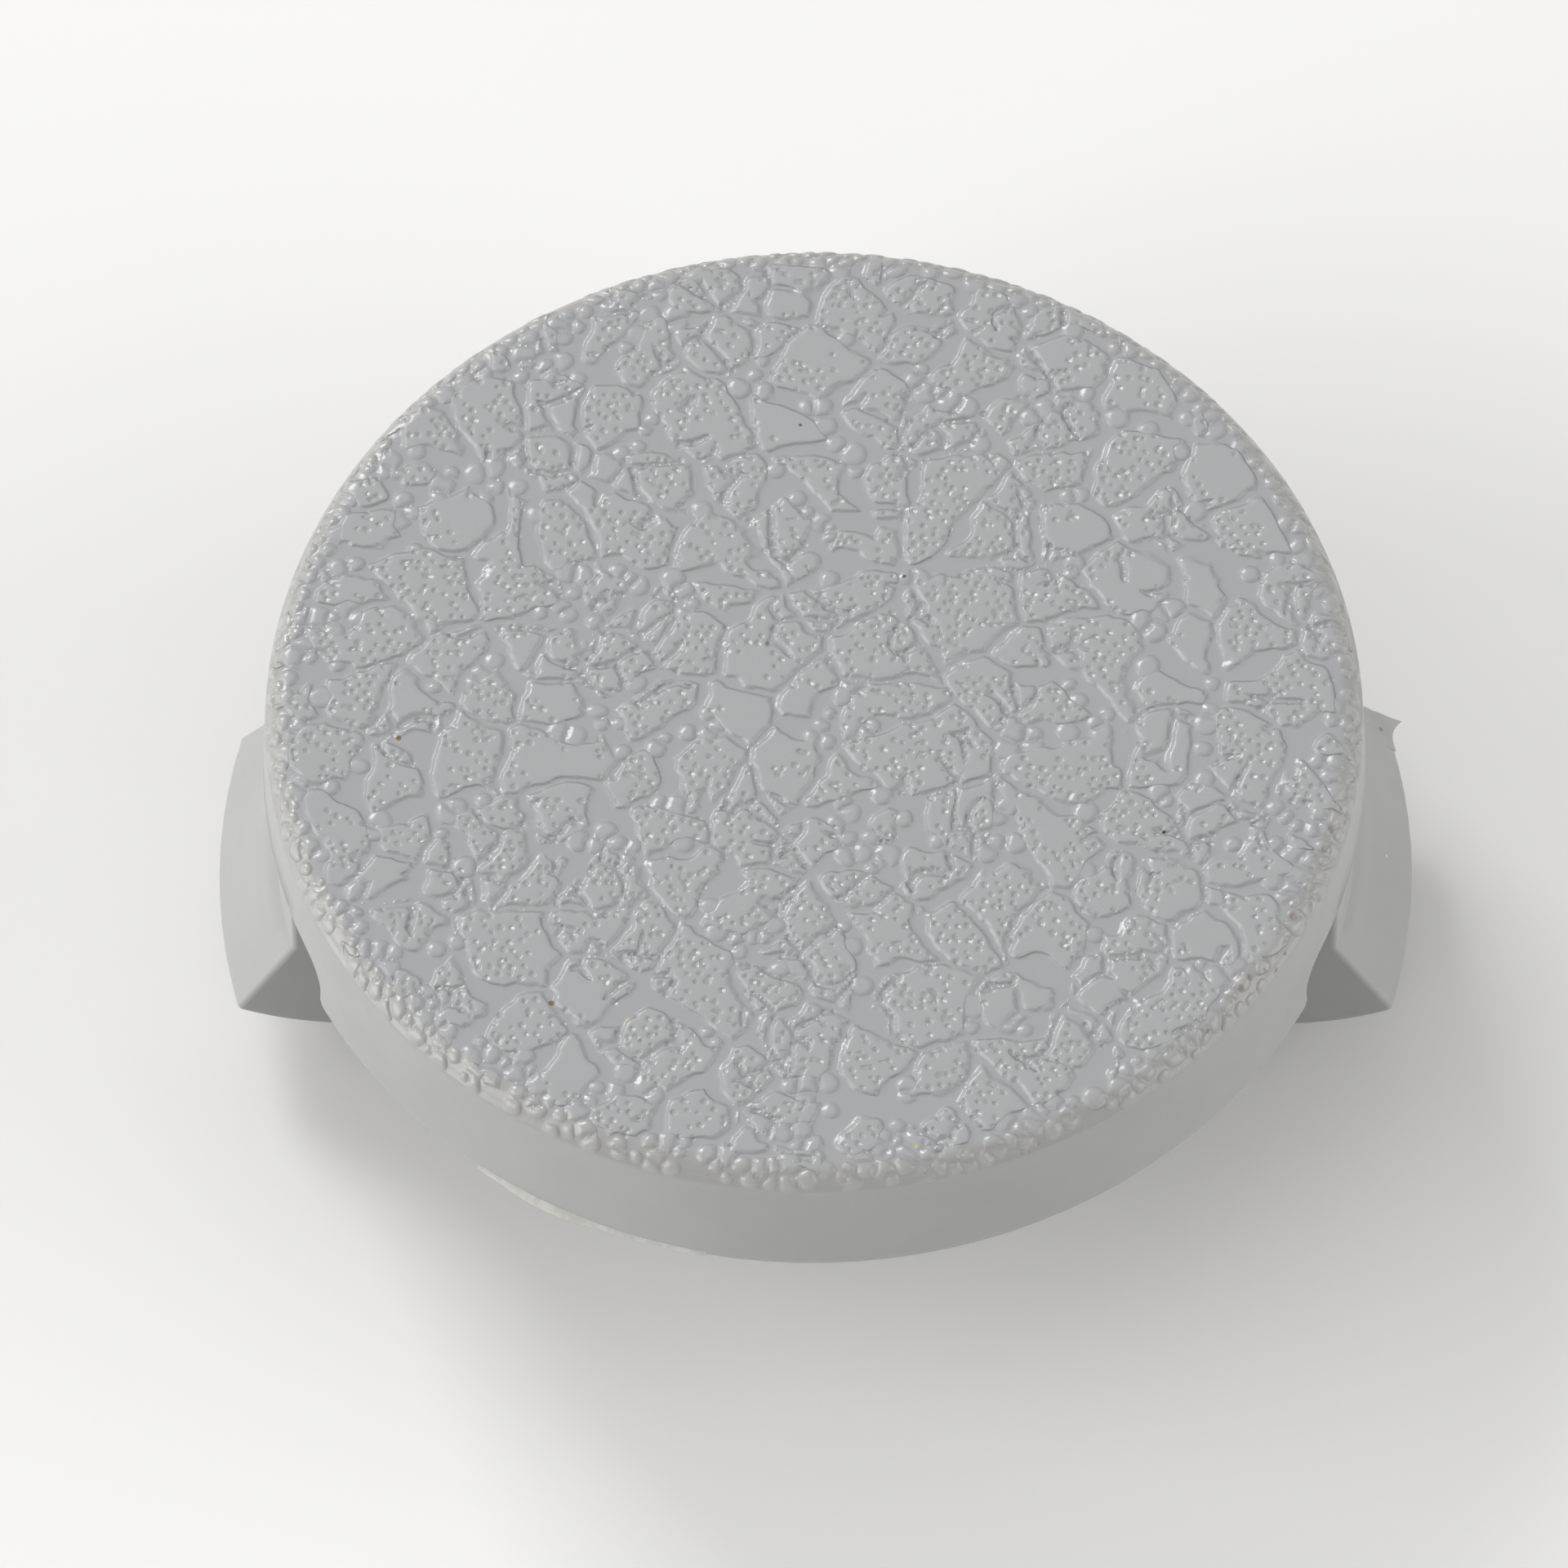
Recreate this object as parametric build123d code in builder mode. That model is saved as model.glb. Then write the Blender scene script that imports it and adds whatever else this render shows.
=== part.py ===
"""Snap-in plastic hole plug: a round cap with a short skirt and two barbed legs.

The plug is one moulding. Its origin is the middle of the floor that its legs
stand on, +Z points up through the cap, and the two legs lie along X.
"""

from build123d import *
from math import cos, radians, sin, tan
import os

os.makedirs("parts", exist_ok=True)

# Overall sizes
cap_diameter = 25.0  # across the skirt, just under the rim
overall_height = 9.2  # from the leg toes to the top face

# Cap and skirt
disc_thickness = 1.6
rim_radius = 0.55  # rounding of the top edge
skirt_height = 3.4  # from the top face to the skirt's lower edge
skirt_wall = 1.4
skirt_draft = 2.3  # degrees, widens the skirt towards its lower edge
core_draft = 1.0  # degrees, the same on the inside
inner_corner_radius = 0.35
skirt_lip_chamfer = 0.2  # on the skirt's inner lower edge

# Reliefs above the legs, which leave the legs free to flex
relief_height = 1.15
relief_half_width = 5.75
relief_corner_radius = 0.7
relief_mouth_radius = 0.2

# Barbed legs
leg_half_angle = 15.5  # degrees either side of X
leg_inset = 0.15  # leg face behind the skirt's top
leg_wall = 1.8
leg_root_radius = 0.6  # where the leg's inner face meets the disc
bend_depth = 5.15  # top face to where the leg flares out
barb_overhang = 1.35  # barb tip beyond the leg's face
barb_depth = 7.25  # top face to the barb tip
barb_tip_radius = 0.15
lead_in_radius = 9.5  # curve of the barb's underside
toe_width = 0.3  # flat that the plug stands on
leg_edge_radius = 0.13

# Levels and radii that follow from them
cap_radius = cap_diameter / 2
disc_underside = overall_height - disc_thickness
skirt_bottom = overall_height - skirt_height
rim_turn = 90 - skirt_draft
rim_centre = cap_radius - rim_radius * cos(radians(skirt_draft))
rim_foot = overall_height - rim_radius * (1 - sin(radians(skirt_draft)))
skirt_bottom_radius = cap_radius + (rim_foot - skirt_bottom) * tan(radians(skirt_draft))
core_radius = cap_radius - skirt_wall
core_mouth_radius = core_radius + (disc_underside - skirt_bottom) * tan(radians(core_draft))
leg_face_radius = cap_radius - leg_inset
leg_inner_radius = leg_face_radius - leg_wall
leg_top = overall_height - disc_thickness / 2  # the leg runs up into the disc
barb_radius = leg_face_radius + barb_overhang

# Leg: its section, turned through the leg's width
start_angle = radians(-leg_half_angle)
leg_end_plane = Plane(
    origin=(0, 0, 0),
    x_dir=(cos(start_angle), sin(start_angle), 0),
    z_dir=(sin(start_angle), -cos(start_angle), 0),
)
with BuildPart() as leg:
    with BuildSketch(leg_end_plane) as leg_section:
        with BuildLine():
            toe = Line((leg_inner_radius + toe_width, 0), (leg_inner_radius, 0))
            back = Line(toe @ 1, (leg_inner_radius, disc_underside - leg_root_radius))
            root = JernArc(start=back @ 1, tangent=back % 1, radius=leg_root_radius, arc_size=90)
            face = Polyline(
                root @ 1,
                (leg_inner_radius - leg_root_radius, leg_top),
                (leg_face_radius, leg_top),
                (leg_face_radius, overall_height - bend_depth),
                (barb_radius, overall_height - barb_depth),
            )
            RadiusArc(face @ 1, toe @ 0, lead_in_radius)
        make_face()
        fillet(leg_section.vertices().sort_by(Axis.X)[-1], radius=barb_tip_radius)
    revolve(axis=Axis.Z, revolution_arc=2 * leg_half_angle)
    leg_ends = leg.faces().filter_by(GeomType.PLANE).filter_by(lambda f: abs(f.normal_at().Z) < 0.1)
    free_edges = leg_ends.edges().filter_by_position(Axis.Z, -1, disc_underside - 0.01)
    fillet(free_edges, radius=leg_edge_radius)

with BuildPart() as hole_plug:
    # Cap: disc, rounded rim and drafted skirt, turned in one section
    with BuildSketch(Plane.XZ) as cap_section:
        with BuildLine():
            top = Line((0, overall_height), (rim_centre, overall_height))
            rim = JernArc(start=top @ 1, tangent=top % 1, radius=rim_radius, arc_size=-rim_turn)
            Polyline(
                rim @ 1,
                (skirt_bottom_radius, skirt_bottom),
                (core_mouth_radius, skirt_bottom),
                (core_radius, disc_underside),
                (0, disc_underside),
                (0, overall_height),
            )
        make_face()
        inner_corner = cap_section.vertices().sort_by_distance((core_radius, disc_underside))[0]
        fillet(inner_corner, radius=inner_corner_radius)
        skirt_lip = cap_section.vertices().sort_by_distance((core_mouth_radius, skirt_bottom))[0]
        chamfer(skirt_lip, length=skirt_lip_chamfer)
    revolve(axis=Axis.Z)

    # Reliefs: one cut along X through both sides of the skirt
    with BuildSketch(Plane.YZ.offset(-2 * cap_radius)) as relief_section:
        with Locations((0, skirt_bottom)):
            Rectangle(2 * relief_half_width, 2 * relief_height)
        fillet(relief_section.vertices().group_by(Axis.Y)[-1], radius=relief_corner_radius)
    extrude(amount=4 * cap_radius, mode=Mode.SUBTRACT)
    mouth_level = hole_plug.edges().filter_by_position(Axis.Z, skirt_bottom - 0.01, skirt_bottom + 0.01)
    fillet(mouth_level.filter_by(Axis.X), radius=relief_mouth_radius)

    # Legs: one at each side
    with PolarLocations(0, 2):
        add(leg.part)

hole_plug.part.label = "hole_plug"
export_step(hole_plug.part, "parts/hole_plug.step")
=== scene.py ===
import math

import bmesh
import bpy
import numpy as np
from mathutils import Matrix, Vector
from mathutils.kdtree import KDTree


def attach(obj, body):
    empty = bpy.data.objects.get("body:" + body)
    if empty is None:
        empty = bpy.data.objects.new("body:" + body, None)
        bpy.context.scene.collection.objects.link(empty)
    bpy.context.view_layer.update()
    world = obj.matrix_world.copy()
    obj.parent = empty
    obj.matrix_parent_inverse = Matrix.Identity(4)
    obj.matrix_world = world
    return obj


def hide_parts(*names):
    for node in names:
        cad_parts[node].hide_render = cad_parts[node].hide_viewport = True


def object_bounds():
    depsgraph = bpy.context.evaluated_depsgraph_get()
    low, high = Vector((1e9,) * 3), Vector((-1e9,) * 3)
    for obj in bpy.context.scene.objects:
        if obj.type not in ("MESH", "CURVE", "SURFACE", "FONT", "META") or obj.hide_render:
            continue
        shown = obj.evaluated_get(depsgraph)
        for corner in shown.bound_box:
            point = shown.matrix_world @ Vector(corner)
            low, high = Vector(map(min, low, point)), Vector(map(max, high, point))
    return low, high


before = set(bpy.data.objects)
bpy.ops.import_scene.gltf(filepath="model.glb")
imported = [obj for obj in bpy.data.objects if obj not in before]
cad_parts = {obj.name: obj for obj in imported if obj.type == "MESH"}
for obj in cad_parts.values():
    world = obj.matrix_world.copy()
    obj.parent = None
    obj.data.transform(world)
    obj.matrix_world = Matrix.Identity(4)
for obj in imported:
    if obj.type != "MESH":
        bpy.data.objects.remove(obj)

cad_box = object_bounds()
mm = 0.001
top_level = cad_box[1].z


# Camera
# A long lens looks down on the cap from the front, swung a little to the
# right, with the horizon turned by a fraction of a degree.
camera_elevation = math.radians(58.877)
camera_swing = math.radians(0.879)
camera_roll = math.radians(0.714)
camera_distance = 900 * mm
frame_width = 35.665 * mm
aim_right = -0.700 * mm
aim_up = -1.695 * mm

towards_camera = Vector((
    math.cos(camera_elevation) * math.sin(camera_swing),
    -math.cos(camera_elevation) * math.cos(camera_swing),
    math.sin(camera_elevation),
))
level_right = Vector((math.cos(camera_swing), math.sin(camera_swing), 0))
level_up = towards_camera.cross(level_right)
camera_right = level_right * math.cos(camera_roll) - level_up * math.sin(camera_roll)
camera_up = level_up * math.cos(camera_roll) + level_right * math.sin(camera_roll)
aim = Vector((0, 0, top_level)) + level_right * aim_right + level_up * aim_up

lens = bpy.data.cameras.new("long_lens")
lens.sensor_width = 36
lens.lens = lens.sensor_width * camera_distance / frame_width
lens.clip_start = 0.05
lens.clip_end = 20
camera = bpy.data.objects.new("camera", lens)
camera_turn = Matrix((camera_right, camera_up, towards_camera)).transposed().to_4x4()
camera.matrix_world = Matrix.Translation(aim + towards_camera * camera_distance) @ camera_turn
bpy.context.scene.collection.objects.link(camera)
bpy.context.scene.camera = camera


# Moulding, smooth part
# The drafted skirt, the open underside and the two barbed legs, left satin
# by the tool's steel in one shot of grey plastic.
rim_radius = 0.55 * mm
skirt_draft = math.radians(2.3)
cap_radius = 12.5 * mm
rim_centre = cap_radius - rim_radius * math.cos(skirt_draft)
rim_foot = top_level - rim_radius * (1 - math.sin(skirt_draft))
smooth_band = 0.25 * mm  # smooth skirt that is made afresh under the rim
cut_steps = 5  # added points on each edge of that cut

shell = bmesh.new()
shell.from_mesh(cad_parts["hole_plug"].data)
bmesh.ops.remove_doubles(shell, verts=shell.verts, dist=0.001 * mm)
bmesh.ops.bisect_plane(
    shell,
    geom=shell.verts[:] + shell.edges[:] + shell.faces[:],
    dist=0.002 * mm,
    plane_co=(0, 0, rim_foot - smooth_band),
    plane_no=(0, 0, 1),
    clear_outer=True,
)

# the cut is brought from the straight facets onto the skirt's true curve
cut_radius = cap_radius + smooth_band * math.tan(skirt_draft)
cut_edges = [edge for edge in shell.edges if edge.is_boundary]
bmesh.ops.subdivide_edges(shell, edges=cut_edges, cuts=cut_steps)
cut_points = {point for edge in shell.edges if edge.is_boundary for point in edge.verts}
for point in cut_points:
    trued = cut_radius / math.hypot(point.co.x, point.co.y)
    point.co.x *= trued
    point.co.y *= trued
bmesh.ops.triangulate(shell, faces=[face for face in shell.faces if len(face.verts) > 3])


# Moulding, grained part
# The top face and its rounded rim, etched in the tool as leather grain:
# flat plates with hair pores, thin creases, and beads where creases widen.
net_rings = 168
rim_turn = math.pi / 2 - skirt_draft
net_radius = rim_centre + rim_radius * rim_turn
grain_depth = 0.062 * mm
pore_depth = 0.045 * mm
grain_in_mesh = 0.6  # share of the depth that the mesh carries
grain_in_bump = 0.75  # share of the depth that the bump adds to the shading
grain_fade = 0.24 * mm  # the grain dies away over this, at the rim's foot
wall_width = 0.12  # mm, width of a plate's sloping edge
bead_width = 0.15  # mm, from a bead's edge to its crown

net = bmesh.new()
bmesh.ops.create_circle(net, cap_ends=True, cap_tris=True, segments=6, radius=1)
bmesh.ops.subdivide_edges(net, edges=net.edges[:], cuts=net_rings - 1, use_grid_fill=True)
net_mesh = bpy.data.meshes.new("grained_top")
net.to_mesh(net_mesh)
net.free()

# the six-sided net becomes rings of even spacing
point_count = len(net_mesh.vertices)
spot = np.zeros(point_count * 3)
net_mesh.vertices.foreach_get("co", spot)
spot = spot.reshape(-1, 3)
bearing = np.arctan2(spot[:, 1], spot[:, 0])
side = np.round(bearing / math.radians(60)) * math.radians(60)
ring = (spot[:, 0] * np.cos(side) + spot[:, 1] * np.sin(side)) / math.cos(math.radians(30))
along = (spot[:, 1] * np.cos(side) - spot[:, 0] * np.sin(side)) / (0.5 * np.maximum(ring, 1e-9))
bearing = side + along * math.radians(30)
reach = ring * net_radius
flat = np.stack([reach * np.cos(bearing), reach * np.sin(bearing)], 1) / mm


def ease(value, low, high):
    """0 at low, 1 at high, and smooth in between."""
    share = np.clip((value - low) / (high - low), 0, 1)
    return share * share * (3 - 2 * share)


def lumps(place, size, seed):
    """Smooth random values from 0 to 1, in lumps about size mm across."""
    table = np.random.default_rng(seed).random((64, 64))
    total = 0
    for turn, share in ((0.4, 0.65), (1.5, 0.35)):
        c = math.cos(turn + seed)
        s = math.sin(turn + seed)
        turned = np.stack([place[:, 0] * c - place[:, 1] * s, place[:, 0] * s + place[:, 1] * c], 1)
        turned = turned / (size * share / 0.65) + 200
        cell = np.floor(turned).astype(int)
        part = turned - cell
        part = part ** 3 * (part * (part * 6 - 15) + 10)
        x, y = (cell % 64).T
        right, up = ((cell + 1) % 64).T
        low = table[x, y] * (1 - part[:, 0]) + table[right, y] * part[:, 0]
        high = table[x, up] * (1 - part[:, 0]) + table[right, up] * part[:, 0]
        total = total + share * (low * (1 - part[:, 1]) + high * part[:, 1])
    return total


def wander(place, size, amount, seed):
    """Each place moved by up to amount mm, in lumps about size mm across."""
    sideways = lumps(place, size, seed) - 0.5
    lengthways = lumps(place, size, seed + 1) - 0.5
    return place + 2 * amount * np.stack([sideways, lengthways], 1)


def crinkle(place):
    """The wandering that gives creases their organic line."""
    place = wander(place, 1.5, 0.30, 21)
    place = wander(place, 0.5, 0.085, 23)
    return wander(place, 0.2, 0.02, 25)


def scatter(spacing, jitter, kept, seed):
    """Uneven points over the flattened top, about spacing mm apart."""
    dice = np.random.default_rng(seed)
    outer = net_radius / mm + spacing
    steps = int(outer / spacing) + 3
    i, j = np.meshgrid(np.arange(-steps, steps + 1), np.arange(-steps, steps + 1))
    points = np.stack([(i + 0.5 * (j % 2)) * spacing, j * spacing * 0.866], -1).reshape(-1, 2)
    points = points + dice.uniform(-jitter, jitter, points.shape) * spacing
    points = points[np.hypot(points[:, 0], points[:, 1]) < outer]
    return points[dice.random(len(points)) < kept]


def nearest(place, points, how_many):
    """Numbers and distances of the nearest points to each place."""
    tree = KDTree(len(points))
    for number, (x, y) in enumerate(points):
        tree.insert((x, y, 0), number)
    tree.balance()
    found = [tree.find_n((x, y, 0), how_many) for x, y in place]
    numbers = np.array([[hit[1] for hit in hits] for hits in found])
    gaps = np.array([[hit[2] for hit in hits] for hits in found])
    return numbers, gaps


def cell_edges(place, points, turn, stretch, size):
    """Distance in mm to the edge of the cell that each place is in, and the cell's number.
    Every cell grows from its point, longer along its turn and larger by its size."""
    numbers, gaps = nearest(place, points, 9)
    away = place[:, None, :] - points[numbers]
    c = np.cos(turn[numbers])
    s = np.sin(turn[numbers])
    stretched = stretch[numbers]
    grown = size[numbers]
    u = (away[..., 0] * c + away[..., 1] * s) / stretched
    v = away[..., 1] * c - away[..., 0] * s
    length = np.hypot(u, v) + 1e-9
    distance = length / grown
    slope_x = (u * c / stretched - v * s) / length / grown
    slope_y = (u * s / stretched + v * c) / length / grown
    row = np.arange(len(place))
    own = distance.argmin(1)
    change = np.hypot(
        slope_x - slope_x[row, own][:, None],
        slope_y - slope_y[row, own][:, None],
    )
    edge = (distance - distance[row, own][:, None]) / (change + 1e-6)
    edge[row, own] = 9
    return edge.min(1), numbers[row, own]


def make_cells(spacing, jitter, kept, seed, longest, smallest, largest):
    points = scatter(spacing, jitter, kept, seed)
    dice = np.random.default_rng(seed + 1)
    turn = dice.uniform(0, math.pi, len(points))
    stretch = dice.uniform(1, longest, len(points))
    size = dice.uniform(smallest, largest, len(points))
    return points, turn, stretch, size


plates = make_cells(1.8, 0.36, 0.94, 1, 1.7, 0.8, 1.25)
half_plates = make_cells(1.1, 0.38, 1.0, 5, 1.8, 0.8, 1.3)
beads = make_cells(0.41, 0.32, 0.98, 3, 1.5, 0.7, 1.3)


def plate_edges(place):
    """How far inside a plate each place is, in mm; below 0 is between plates."""
    edge, plate = cell_edges(crinkle(place), *plates)
    from_middle = np.hypot(place[:, 0], place[:, 1]) - rim_centre / mm
    widening = 0.03 + 0.27 * ease(lumps(place, 1.25, 61), 0.44, 0.76)
    widening = widening + 0.5 * ease(from_middle, -0.35, 0.25)
    scallop = 0.13 * (lumps(place, 0.32, 63) - 0.5)
    return edge + scallop, widening


edge, widening = plate_edges(flat)
half_edge = cell_edges(crinkle(flat), *half_plates)[0]
creased = ease(lumps(flat, 1.6, 71), 0.50, 0.62)
plate_edge = np.minimum(edge - widening, half_edge - 0.02 + 0.2 * (1 - creased))
plate_edge = plate_edge - 0.6 * ease(reach / mm, net_radius / mm - 0.5, net_radius / mm - 0.15)

# beads stand where a crease is wide, and the largest reach over its edges
bead_place = wander(flat, 0.45, 0.05, 27)
crease_edge, crease_width = plate_edges(beads[0])
from_rim = rim_centre / mm - np.hypot(beads[0][:, 0], beads[0][:, 1])
standing = (crease_width - crease_edge > 0.03) & (crease_width > 0.12)
standing = standing & ((from_rim < 0.5) | (np.random.default_rng(6).random(len(from_rim)) < 0.5))
standing = standing & (from_rim > 0.17 - rim_radius * rim_turn / mm)
beads = [values[standing] for values in beads]
bead_edge, bead = cell_edges(bead_place, *beads)
bead_radius = 0.25 * beads[3][bead]
from_crown = bead_place - beads[0][bead]
from_crown = np.hypot(from_crown[:, 0], from_crown[:, 1])
bead_edge = np.minimum(bead_edge - 0.02, bead_radius - from_crown)
bead_height = np.random.default_rng(8).uniform(0.6, 1.0, len(beads[0]))[bead]

pores = scatter(0.255, 0.30, 0.78, 9)
pore_edge, pore_widening = plate_edges(pores)
pores = pores[(pore_edge - pore_widening > 0.07) & (lumps(pores, 1.5, 81) > 0.31)]
pore_size = np.random.default_rng(11).uniform(0.075, 0.12, len(pores))
pore, pore_gap = nearest(flat, pores, 1)
pore_gap = pore_gap[:, 0] / pore_size[pore[:, 0]]

fade = ease(net_radius - reach, 0, grain_fade)
rim_share = ease(reach / mm, rim_centre / mm - 0.05, rim_centre / mm + 0.3)
for name, values in {
    "grain_edges": (plate_edge, bead_edge, bead_height),
    "grain_marks": (pore_gap, fade, rim_share),
}.items():
    attribute = net_mesh.attributes.new(name, "FLOAT_VECTOR", "POINT")
    attribute.data.foreach_set("vector", np.stack(values, 1).astype(np.float32).ravel())

plate_rise = ease(plate_edge, 0, wall_width)
bead_rise = bead_height * (1 - (1 - np.clip(bead_edge / bead_width, 0, 1)) ** 2)
rise = np.maximum(plate_rise, bead_rise)
pore_dip = 1 - ease(pore_gap, 0.1, 1)

# bent over the rim, with the plates' tops on the true surface
over = np.clip((reach - rim_centre) / rim_radius, 0, None)
sunk = ((1 - rise) * grain_depth + pore_dip * pore_depth) * grain_in_mesh * fade
bend_radius = rim_radius - sunk
out = np.minimum(reach, rim_centre) + bend_radius * np.sin(over)
level = top_level - rim_radius + bend_radius * np.cos(over)
spot = np.stack([out * np.cos(bearing), out * np.sin(bearing), level], 1)
net_mesh.vertices.foreach_set("co", spot.astype(np.float32).ravel())
net_mesh.polygons.foreach_set("material_index", [1] * len(net_mesh.polygons))

# joined to the skirt under the rim
shell.from_mesh(net_mesh)
bmesh.ops.bridge_loops(shell, edges=[edge for edge in shell.edges if edge.is_boundary])
bmesh.ops.recalc_face_normals(shell, faces=shell.faces[:])
moulding_mesh = bpy.data.meshes.new("plug_moulding")
shell.to_mesh(moulding_mesh)
shell.free()
moulding = bpy.data.objects.new("plug_moulding", moulding_mesh)
bpy.context.scene.collection.objects.link(moulding)
moulding_mesh.polygons.foreach_set("use_smooth", [True] * len(moulding_mesh.polygons))
moulding_mesh.set_sharp_from_angle(angle=math.radians(32))
evening = moulding.modifiers.new("even_normals", "WEIGHTED_NORMAL")
evening.keep_sharp = True
evening.weight = 100


# Grey plastic
# One batch of satin grey plastic: the skirt and legs are smooth from the
# steel, and the grained top is glossier on its plates. The top's slight blue
# tint is a painted reflection, its valleys and pores are painted darker as
# painted shade, and the rim's beads are painted lighter as painted light.
smooth_grey = (0.340, 0.343, 0.336, 1)
smooth_grey_pale = (0.352, 0.355, 0.348, 1)
# plates and valleys carry a painted reflection as a slight blue tint, and the valleys are painted
# darker than the plates as painted shade in the creases
plate_grey = (0.356, 0.359, 0.363, 1)
crease_painted_shade_grey = (0.340, 0.342, 0.354, 1)
# pores are painted darker as painted shade in the pits
pore_painted_shade_grey = (0.300, 0.298, 0.298, 1)
# the rim's beads are painted lighter as painted light on the rounded rim, and its valleys darker as
# painted shade
rim_bead_painted_light_grey = (0.364, 0.369, 0.356, 1)
rim_crease_painted_shade = (0.336, 0.331, 0.318, 1)
light_depth = 0.22 * mm  # how far light soaks into the smooth plastic
light_tint = (1.0, 0.8, 0.62)  # and how far of it in red, green and blue
orange_peel_height = 0.0012 * mm
tooth_share = 0.045  # fine tooth of the etched steel, against the grain's depth


def add_node(tree, kind, **settings):
    node = tree.nodes.new(kind)
    for name, value in settings.items():
        setattr(node, name, value)
    return node


def feed(tree, socket, value):
    if isinstance(value, bpy.types.NodeSocket):
        tree.links.new(value, socket)
    else:
        socket.default_value = value


def reckon(tree, operation, *terms, clamp=False):
    node = add_node(tree, "ShaderNodeMath", operation=operation, use_clamp=clamp)
    for socket, term in zip(node.inputs, terms):
        feed(tree, socket, term)
    return node.outputs[0]


def ramp(tree, value, low, high, at_low=0.0, at_high=1.0, shape="SMOOTHSTEP"):
    node = add_node(tree, "ShaderNodeMapRange", interpolation_type=shape)
    for socket, term in zip(node.inputs, (value, low, high, at_low, at_high)):
        feed(tree, socket, term)
    return node.outputs[0]


def read_marks(tree, name):
    marks = add_node(tree, "ShaderNodeAttribute", attribute_name=name)
    parts = add_node(tree, "ShaderNodeSeparateXYZ")
    tree.links.new(marks.outputs["Vector"], parts.inputs[0])
    return parts.outputs


def new_material(name):
    material = bpy.data.materials.new(name)
    material.use_nodes = True
    tree = material.node_tree
    tree.nodes.clear()
    surface = add_node(tree, "ShaderNodeBsdfPrincipled")
    output = add_node(tree, "ShaderNodeOutputMaterial")
    tree.links.new(surface.outputs[0], output.inputs[0])
    return material, tree, surface


def blend_colours(tree, share, first, second):
    node = add_node(tree, "ShaderNodeMix", data_type="RGBA")
    feed(tree, node.inputs[0], share)
    feed(tree, node.inputs[6], first)
    feed(tree, node.inputs[7], second)
    return node.outputs[2]


def clouds(tree, size, detail=2.0):
    """Soft noise through the plastic, in lumps about size metres across."""
    place = add_node(tree, "ShaderNodeTexCoord")
    node = add_node(tree, "ShaderNodeTexNoise")
    tree.links.new(place.outputs["Object"], node.inputs["Vector"])
    node.inputs["Scale"].default_value = 1 / size
    node.inputs["Detail"].default_value = detail
    return node.outputs[0]


def speckle(tree, colour, specks):
    """Paints small specks over a colour: each is its place and radius in mm and its colour."""
    place = add_node(tree, "ShaderNodeTexCoord").outputs["Object"]
    for x, y, z, radius, speck_colour in specks:
        gap = add_node(tree, "ShaderNodeVectorMath", operation="DISTANCE")
        feed(tree, gap.inputs[0], place)
        gap.inputs[1].default_value = (x * mm, y * mm, z * mm)
        mask = ramp(tree, gap.outputs["Value"], radius * 0.6 * mm, radius * mm, 1.0, 0.0)
        colour = blend_colours(tree, mask, colour, speck_colour)
    return colour


soot = (0.015, 0.015, 0.015, 1)
dark_dust = (0.10, 0.095, 0.09, 1)
brown_dust = (0.20, 0.14, 0.07, 1)
yellow_dust = (0.52, 0.47, 0.20, 1)
pale_dust = (0.62, 0.62, 0.60, 1)
faint_stain = (0.27, 0.238, 0.225, 1)
skirt_specks = (
    (5.47, -11.32, 8.60, 0.05, dark_dust),
    (-2.31, -12.47, 7.70, 0.05, dark_dust),
    (-12.50, -0.38, 7.70, 0.06, dark_dust),
    (12.99, 3.64, 2.36, 0.09, brown_dust),
    (13.03, -0.11, 2.90, 0.07, pale_dust),
)
top_specks = (
    (7.96, -3.24, 9.18, 0.055, soot),
    (-0.34, 7.59, 9.18, 0.055, dark_dust),
    (2.04, 3.55, 9.18, 0.06, dark_dust),
    (-9.44, -0.76, 9.18, 0.08, brown_dust),
    (-5.91, -7.77, 9.18, 0.09, brown_dust),
    (-4.19, -8.20, 9.18, 0.05, yellow_dust),
    (2.37, -11.54, 9.18, 0.06, yellow_dust),
)
# faint stains along the rim's right front, by their bearings in degrees
stain_ring = 12.15
rim_stains = tuple(
    (
        stain_ring * math.cos(math.radians(stain_bearing)),
        stain_ring * math.sin(math.radians(stain_bearing)),
        9.10,
        0.11,
        faint_stain,
    )
    for stain_bearing in (-15, -17.5, -26.5, -35.5, -37)
)

smooth_plastic, tree, surface = new_material("smooth_grey_plastic")
mottle = ramp(tree, clouds(tree, 2.5 * mm), 0.3, 0.7)
colour = blend_colours(tree, mottle, smooth_grey, smooth_grey_pale)
feed(tree, surface.inputs["Base Color"], speckle(tree, colour, skirt_specks))
feed(tree, surface.inputs["Roughness"], ramp(tree, clouds(tree, 1.1 * mm), 0.3, 0.7, 0.40, 0.50))
surface.inputs["Subsurface Weight"].default_value = 0.25
surface.inputs["Subsurface Radius"].default_value = light_tint
surface.inputs["Subsurface Scale"].default_value = light_depth
orange_peel = add_node(tree, "ShaderNodeBump")
orange_peel.inputs["Strength"].default_value = 1.0
orange_peel.inputs["Distance"].default_value = orange_peel_height
feed(tree, orange_peel.inputs["Height"], clouds(tree, 0.16 * mm, 3.0))
feed(tree, surface.inputs["Normal"], orange_peel.outputs[0])

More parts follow.
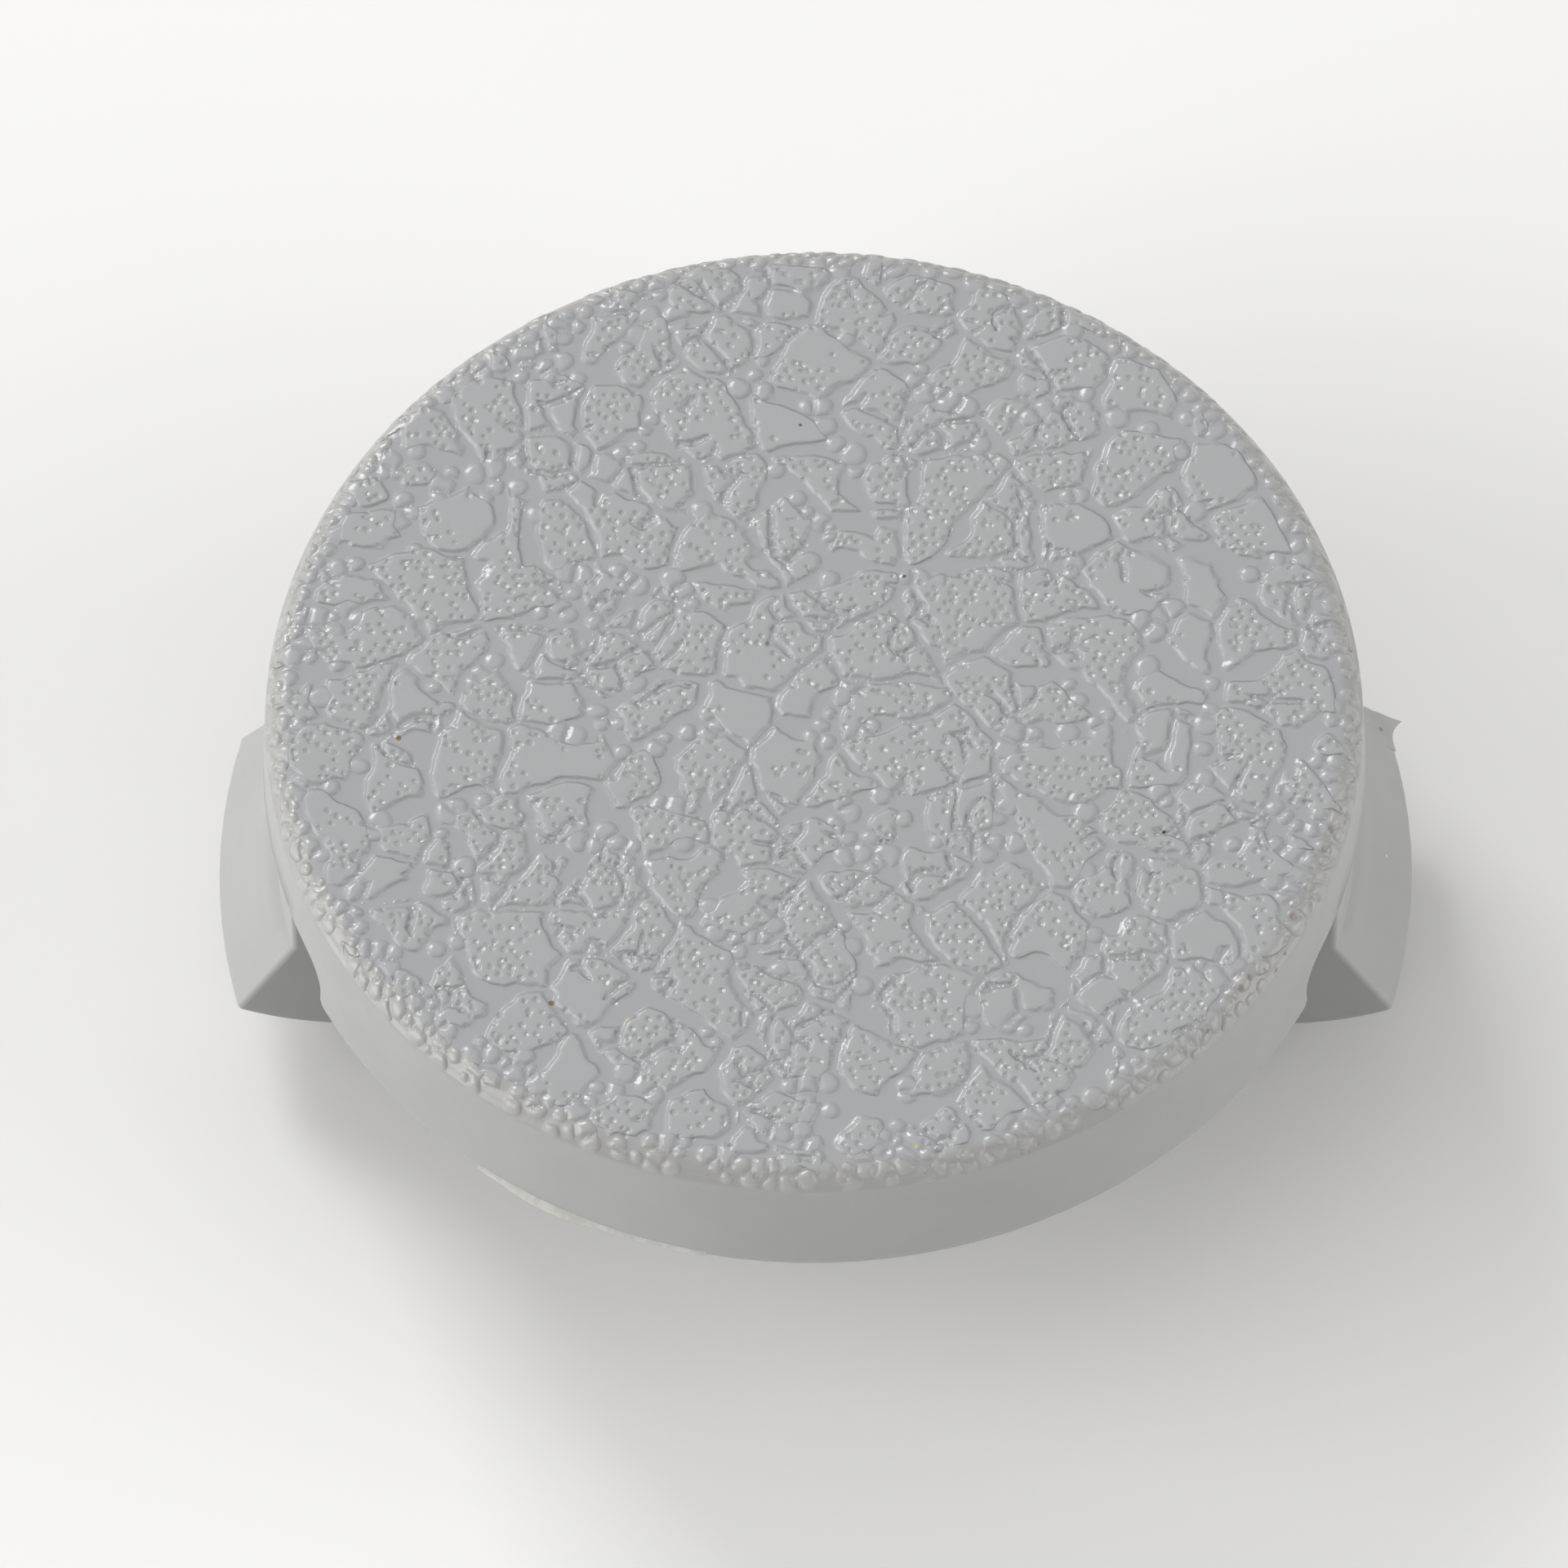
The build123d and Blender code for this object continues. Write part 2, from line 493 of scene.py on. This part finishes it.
grained_plastic, tree, surface = new_material("grained_grey_plastic")
plate_edge_mark, bead_edge_mark, bead_height_mark = read_marks(tree, "grain_edges")
pore_mark, fade_mark, rim_mark = read_marks(tree, "grain_marks")
plate_rise_mark = ramp(tree, plate_edge_mark, 0.0, wall_width)
short = ramp(tree, bead_edge_mark, 0.0, bead_width, 1.0, 0.0, "LINEAR")
dome = reckon(tree, "SUBTRACT", 1.0, reckon(tree, "MULTIPLY", short, short))
bead_rise_mark = reckon(tree, "MULTIPLY", dome, bead_height_mark)
rise_mark = reckon(tree, "MAXIMUM", plate_rise_mark, bead_rise_mark)
dip_mark = ramp(tree, pore_mark, 0.1, 1.0, 1.0, 0.0)
sunk_pore = reckon(tree, "MULTIPLY", dip_mark, pore_depth / grain_depth)
bump_height = reckon(tree, "SUBTRACT", reckon(tree, "SUBTRACT", rise_mark, 1.0), sunk_pore)
bump_height = reckon(tree, "MULTIPLY", bump_height, fade_mark)
tooth = reckon(tree, "MULTIPLY", clouds(tree, 0.13 * mm, 3.0), tooth_share)
bump = add_node(tree, "ShaderNodeBump")
bump.inputs["Strength"].default_value = 1.0
bump.inputs["Distance"].default_value = grain_depth * grain_in_bump
feed(tree, bump.inputs["Height"], reckon(tree, "ADD", bump_height, tooth))
feed(tree, surface.inputs["Normal"], bump.outputs[0])
# painted shade darkens the valleys and the pores, and painted light lightens the rim's beads
shown = ramp(tree, rise_mark, 0.0, 0.8)
top_colour = blend_colours(tree, shown, crease_painted_shade_grey, plate_grey)
rim_colour = blend_colours(tree, shown, rim_crease_painted_shade, rim_bead_painted_light_grey)
colour = blend_colours(tree, rim_mark, top_colour, rim_colour)
colour = blend_colours(tree, reckon(tree, "MULTIPLY", dip_mark, 0.5), colour, pore_painted_shade_grey)
colour = blend_colours(tree, fade_mark, smooth_grey, colour)
feed(tree, surface.inputs["Base Color"], speckle(tree, colour, top_specks + rim_stains))
gloss = ramp(tree, clouds(tree, 0.9 * mm), 0.3, 0.7, 0.21, 0.29)
feed(tree, surface.inputs["Roughness"], gloss)

moulding_mesh.materials.append(smooth_plastic)
moulding_mesh.materials.append(grained_plastic)
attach(moulding, "root")
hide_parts("hole_plug")


# Flash on the skirt's lower edge
# A sliver of plastic that was squeezed out where the two halves of the tool
# meet, thin, and drawn out to a thread along the edge; it is painted paler
# than the plastic, as painted light shining through the thin sheet.
def add_flash(name, strips, rows, shape, thickness, material):
    """A thin sheet of plastic: shape gives the place of each point along and across it."""
    sheet = bmesh.new()
    bmesh.ops.create_grid(sheet, x_segments=strips, y_segments=rows, size=0.5)
    for point in sheet.verts:
        point.co = shape(point.co.x + 0.5, point.co.y + 0.5)
    bmesh.ops.recalc_face_normals(sheet, faces=sheet.faces[:])
    bmesh.ops.solidify(sheet, geom=sheet.faces[:], thickness=thickness)
    bmesh.ops.recalc_face_normals(sheet, faces=sheet.faces[:])
    mesh = bpy.data.meshes.new(name)
    sheet.to_mesh(mesh)
    sheet.free()
    mesh.polygons.foreach_set("use_smooth", [True] * len(mesh.polygons))
    mesh.set_sharp_from_angle(angle=math.radians(50))
    mesh.materials.append(material)
    piece = bpy.data.objects.new(name, mesh)
    bpy.context.scene.collection.objects.link(piece)
    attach(piece, "root")
    return piece


# the flash is painted paler than the plastic, as painted light shining through the thin sheet
flash_grey_painted_light = (0.43, 0.43, 0.405, 1)
flash_pale_painted_light = (0.50, 0.497, 0.47, 1)
flash_plastic_painted_light, tree, surface = new_material("flash_painted_light")
frayed = ramp(tree, clouds(tree, 0.3 * mm, 3.0), 0.4, 0.6)
feed(tree, surface.inputs["Base Color"], blend_colours(tree, frayed, flash_grey_painted_light, flash_pale_painted_light))
surface.inputs["Roughness"].default_value = 0.45
surface.inputs["Subsurface Weight"].default_value = 0.3
surface.inputs["Subsurface Radius"].default_value = light_tint
surface.inputs["Subsurface Scale"].default_value = 0.15 * mm

skirt_height = 3.4 * mm
skirt_edge_level = top_level - skirt_height
skirt_edge_radius = cap_radius + (rim_foot - skirt_edge_level) * math.tan(skirt_draft)
flash_thickness = 0.035 * mm
flash_ragged = np.random.default_rng(15).uniform(-1, 1, 40)


def skirt_flash_shape(along, across):
    turned = math.radians(-127 + 26 * along)
    width = (0.03 + 0.13 * math.sin(math.pi * min(1, along / 0.55) ** 1.4)) * mm
    ragged = 0.012 * mm * flash_ragged[int(along * 39)] * across
    radius = skirt_edge_radius - 0.04 * mm + (width + ragged) * across
    level = skirt_edge_level + (0.09 - 0.16 * across) * mm
    return Vector((radius * math.cos(turned), radius * math.sin(turned), level))


add_flash("skirt_flash", 44, 2, skirt_flash_shape, flash_thickness, flash_plastic_painted_light)


# Burr on the right leg
# A fin of the same squeezed-out plastic past the far end of the right leg's
# sloping face, hooked at its tip.
leg_turn = math.radians(15.5)  # from X to the leg's far end
burr_thickness = 0.09 * mm
bend_corner = Vector((11.86, 3.24, 4.02)) * mm
barb_corner = Vector((13.17, 3.60, 1.98)) * mm
tangent = Vector((-math.sin(leg_turn), math.cos(leg_turn), 0))
outward = Vector((math.cos(leg_turn), math.sin(leg_turn), 0))


def burr_shape(along, across):
    root = bend_corner.lerp(barb_corner, along)
    reach_out = 0.54 * min(1, along / 0.4) - 0.16 * along ** 4
    reach_out = (0.35 + reach_out) * across - 0.35
    hook = along ** 4 * (0.04 + 0.34 * across ** 4)
    ragged = 0.02 * flash_ragged[30 - int(along * 14)] * across
    return root + (tangent * (reach_out + ragged) + outward * hook) * mm


add_flash("leg_burr", 14, 8, burr_shape, burr_thickness, smooth_plastic)


# Floor and studio light
# White paper in a bright room, with four square soft boxes round it: the
# grain is drawn by the one behind, and the others keep the sides light.
floor_half = 400 * mm
paper_white = (0.80, 0.794, 0.775, 1)
room_light = 0.43
floor_sheet = bmesh.new()
bmesh.ops.create_grid(floor_sheet, x_segments=1, y_segments=1, size=floor_half)
floor_mesh = bpy.data.meshes.new("floor")
floor_sheet.to_mesh(floor_mesh)
floor_sheet.free()
floor = bpy.data.objects.new("floor", floor_mesh)
bpy.context.scene.collection.objects.link(floor)
paper, tree, surface = new_material("white_paper")
surface.inputs["Base Color"].default_value = paper_white
surface.inputs["Roughness"].default_value = 0.9
floor_mesh.materials.append(paper)


def soft_box(name, bearing, elevation, width, strength):
    """A square light that looks width degrees wide from the plug; a white sheet that
    faces it shows it as strength times white."""
    distance = 0.6
    light = bpy.data.lights.new(name, "AREA")
    light.shape = "SQUARE"
    light.size = 2 * distance * math.tan(math.radians(width / 2))
    light.energy = strength * math.pi ** 2 * distance ** 2
    lamp = bpy.data.objects.new(name, light)
    direction = Vector((
        math.cos(math.radians(elevation)) * math.cos(math.radians(bearing)),
        math.cos(math.radians(elevation)) * math.sin(math.radians(bearing)),
        math.sin(math.radians(elevation)),
    ))
    lamp.location = direction * distance
    lamp.rotation_euler = direction.to_track_quat("Z", "Y").to_euler()
    bpy.context.scene.collection.objects.link(lamp)


soft_box("key_box", 122, 34, 20, 0.47)
soft_box("back_box", 120, 68, 60, 0.08)
soft_box("left_box", 195, 20, 50, 0.98)
soft_box("right_box", 350, 18, 50, 0.64)
world = bpy.data.worlds.new("bright_room")
world.use_nodes = True
world.node_tree.nodes["Background"].inputs["Color"].default_value = (1, 1, 1, 1)
world.node_tree.nodes["Background"].inputs["Strength"].default_value = room_light
bpy.context.scene.world = world
bpy.context.scene.view_settings.view_transform = "Standard"
